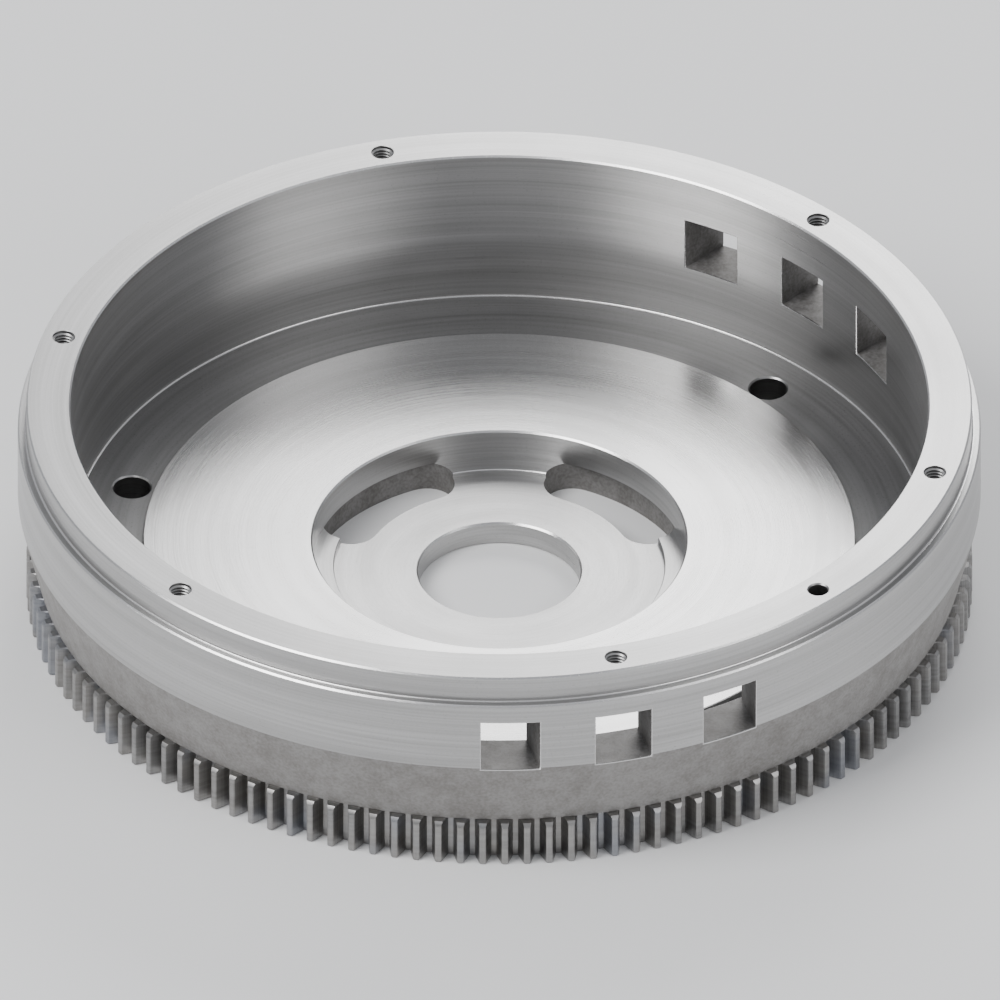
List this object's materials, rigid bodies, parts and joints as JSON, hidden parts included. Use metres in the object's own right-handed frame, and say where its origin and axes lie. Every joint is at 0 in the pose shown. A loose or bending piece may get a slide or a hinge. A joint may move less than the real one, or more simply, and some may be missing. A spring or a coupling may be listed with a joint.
{
  "type": "flywheel",
  "caption": "Deep pot-type clutch flywheel: cast body with windows, friction face, recessed hub and bore, and a shrunk-on starter ring gear.",
  "frame": {"origin": "centre of the crank face, on the spin axis, at the foot of the bore", "axes": "+Z along the spin axis from the crank face towards the open rim of the pot; -Y towards the side the drawing is seen from"},
  "size_m": [0.3436, 0.3436, 0.0815],
  "materials": {
    "casting": "turned and ground grey iron",
    "gear_steel": "hobbed and hardened steel"
  },
  "bodies": {
    "root": {"flywheel_body": "casting", "ring_gear": "gear_steel"}
  },
  "joints": []
}
